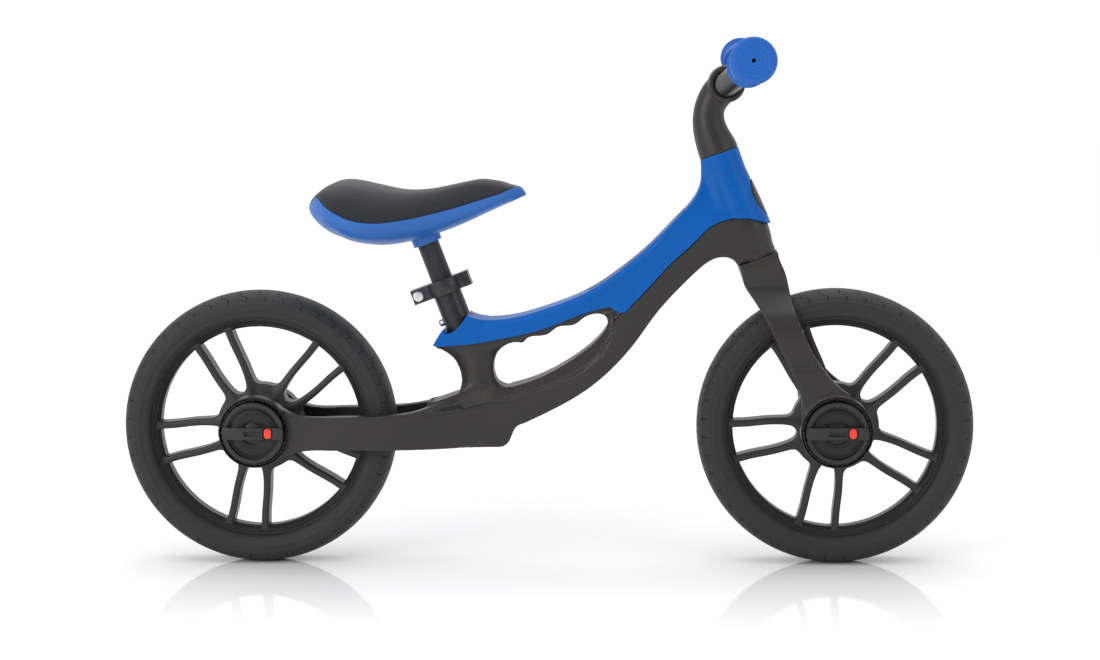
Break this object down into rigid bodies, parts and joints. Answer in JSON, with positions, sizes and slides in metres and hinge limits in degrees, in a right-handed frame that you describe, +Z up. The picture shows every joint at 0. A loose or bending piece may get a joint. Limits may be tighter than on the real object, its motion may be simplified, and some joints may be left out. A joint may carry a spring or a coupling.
{
  "type": "balance bike",
  "caption": "Child's balance bike with a moulded black frame, blue cover, spoked wheels, padded saddle and hub dials.",
  "frame": {"origin": "on the ground, midway between the two axles, on the bike's middle plane", "axes": "+X forward, +Y to the rider's left, +Z up"},
  "size_m": [0.786, 0.3816, 0.4832],
  "materials": {
    "frame_black": "satin moulded plastic",
    "cover_blue": "satin moulded plastic",
    "saddle_blue": "satin moulded plastic",
    "grip_blue": "soft moulded rubber",
    "pad_cloth": "fine knitted cover",
    "trim_black": "satin moulded plastic",
    "clamp_black": "black paint",
    "dial_black": "satin moulded plastic",
    "wheel_black": "satin moulded plastic",
    "bush_grey": "plain moulded plastic",
    "tyre_black": "moulded foam rubber",
    "steel_black": "dark powder coat",
    "zinc_steel": "zinc plated",
    "button_red": "smooth moulded plastic"
  },
  "bodies": {
    "frame": {"main_frame": "frame_black", "frame_cover": "cover_blue", "top_inlay": "trim_black", "head_badge": "trim_black", "upper_head_bush": "bush_grey", "lower_head_bush": "bush_grey", "seat_tube": "steel_black", "seat_tube_screw": "zinc_steel", "seat_clamp": "clamp_black", "clamp_block": "trim_black", "clamp_screw": "zinc_steel", "clamp_nut": "zinc_steel", "rear_axle": "zinc_steel", "rear_spacer": "zinc_steel", "rear_dial_ring": "trim_black", "rear_hub_cap": "dial_black"},
    "seat": {"seat_post": "steel_black", "post_plug": "zinc_steel", "saddle_bolt": "zinc_steel", "saddle_shell": "saddle_blue", "saddle_pad": "pad_cloth"},
    "steering": {"fork": "frame_black", "steerer_tube": "zinc_steel", "steerer_nut": "zinc_steel", "steerer_bolt": "zinc_steel", "stem": "frame_black", "handlebar": "steel_black", "bar_screw": "zinc_steel", "grip_right": "grip_blue", "grip_left": "grip_blue", "bar_end_plugs": "trim_black", "front_axle": "zinc_steel", "front_spacer": "zinc_steel", "front_dial_ring": "trim_black", "front_hub_cap": "dial_black"},
    "front_wheel": {"front_rim": "wheel_black", "front_tyre": "tyre_black", "front_bearings": "zinc_steel"},
    "rear_wheel": {"rear_rim": "wheel_black", "rear_tyre": "tyre_black", "rear_bearings": "zinc_steel"},
    "front_dial_body": {"front_dial": "dial_black", "front_button_spring": "zinc_steel"},
    "rear_dial_body": {"rear_dial": "dial_black", "rear_button_spring": "zinc_steel"},
    "front_lock_body": {"front_lock_button": "button_red"},
    "rear_lock_body": {"rear_lock_button": "button_red"}
  },
  "joints": [
    {"name": "steering_turn", "type": "hinge", "parent": "frame", "child": "steering", "pos_m": [0.1768, 0, 0.3306], "axis": [-0.3338, 0, 0.9426], "range_deg": [-60, 60]},
    {"name": "front_wheel_spin", "type": "hinge", "parent": "steering", "child": "front_wheel", "pos_m": [0.266, 0, 0.127], "axis": [0, 1, 0], "continuous": true},
    {"name": "rear_wheel_spin", "type": "hinge", "parent": "frame", "child": "rear_wheel", "pos_m": [-0.266, 0, 0.127], "axis": [0, 1, 0], "continuous": true},
    {"name": "seat_height", "type": "slide", "parent": "frame", "child": "seat", "axis": [-0.3502, 0, 0.9367], "range_m": [-0.028, 0.035]},
    {"name": "front_dial_turn", "type": "hinge", "parent": "steering", "child": "front_dial_body", "pos_m": [0.266, 0, 0.127], "axis": [0, -1, 0], "range_deg": [0, 90]},
    {"name": "front_lock_press", "type": "slide", "parent": "front_dial_body", "child": "front_lock_body", "axis": [0, 1, 0], "range_m": [0, 0.002], "stiffness_N_per_m": 1500},
    {"name": "rear_dial_turn", "type": "hinge", "parent": "frame", "child": "rear_dial_body", "pos_m": [-0.266, 0, 0.127], "axis": [0, -1, 0], "range_deg": [0, 90]},
    {"name": "rear_lock_press", "type": "slide", "parent": "rear_dial_body", "child": "rear_lock_body", "axis": [0, 1, 0], "range_m": [0, 0.002], "stiffness_N_per_m": 1500}
  ]
}
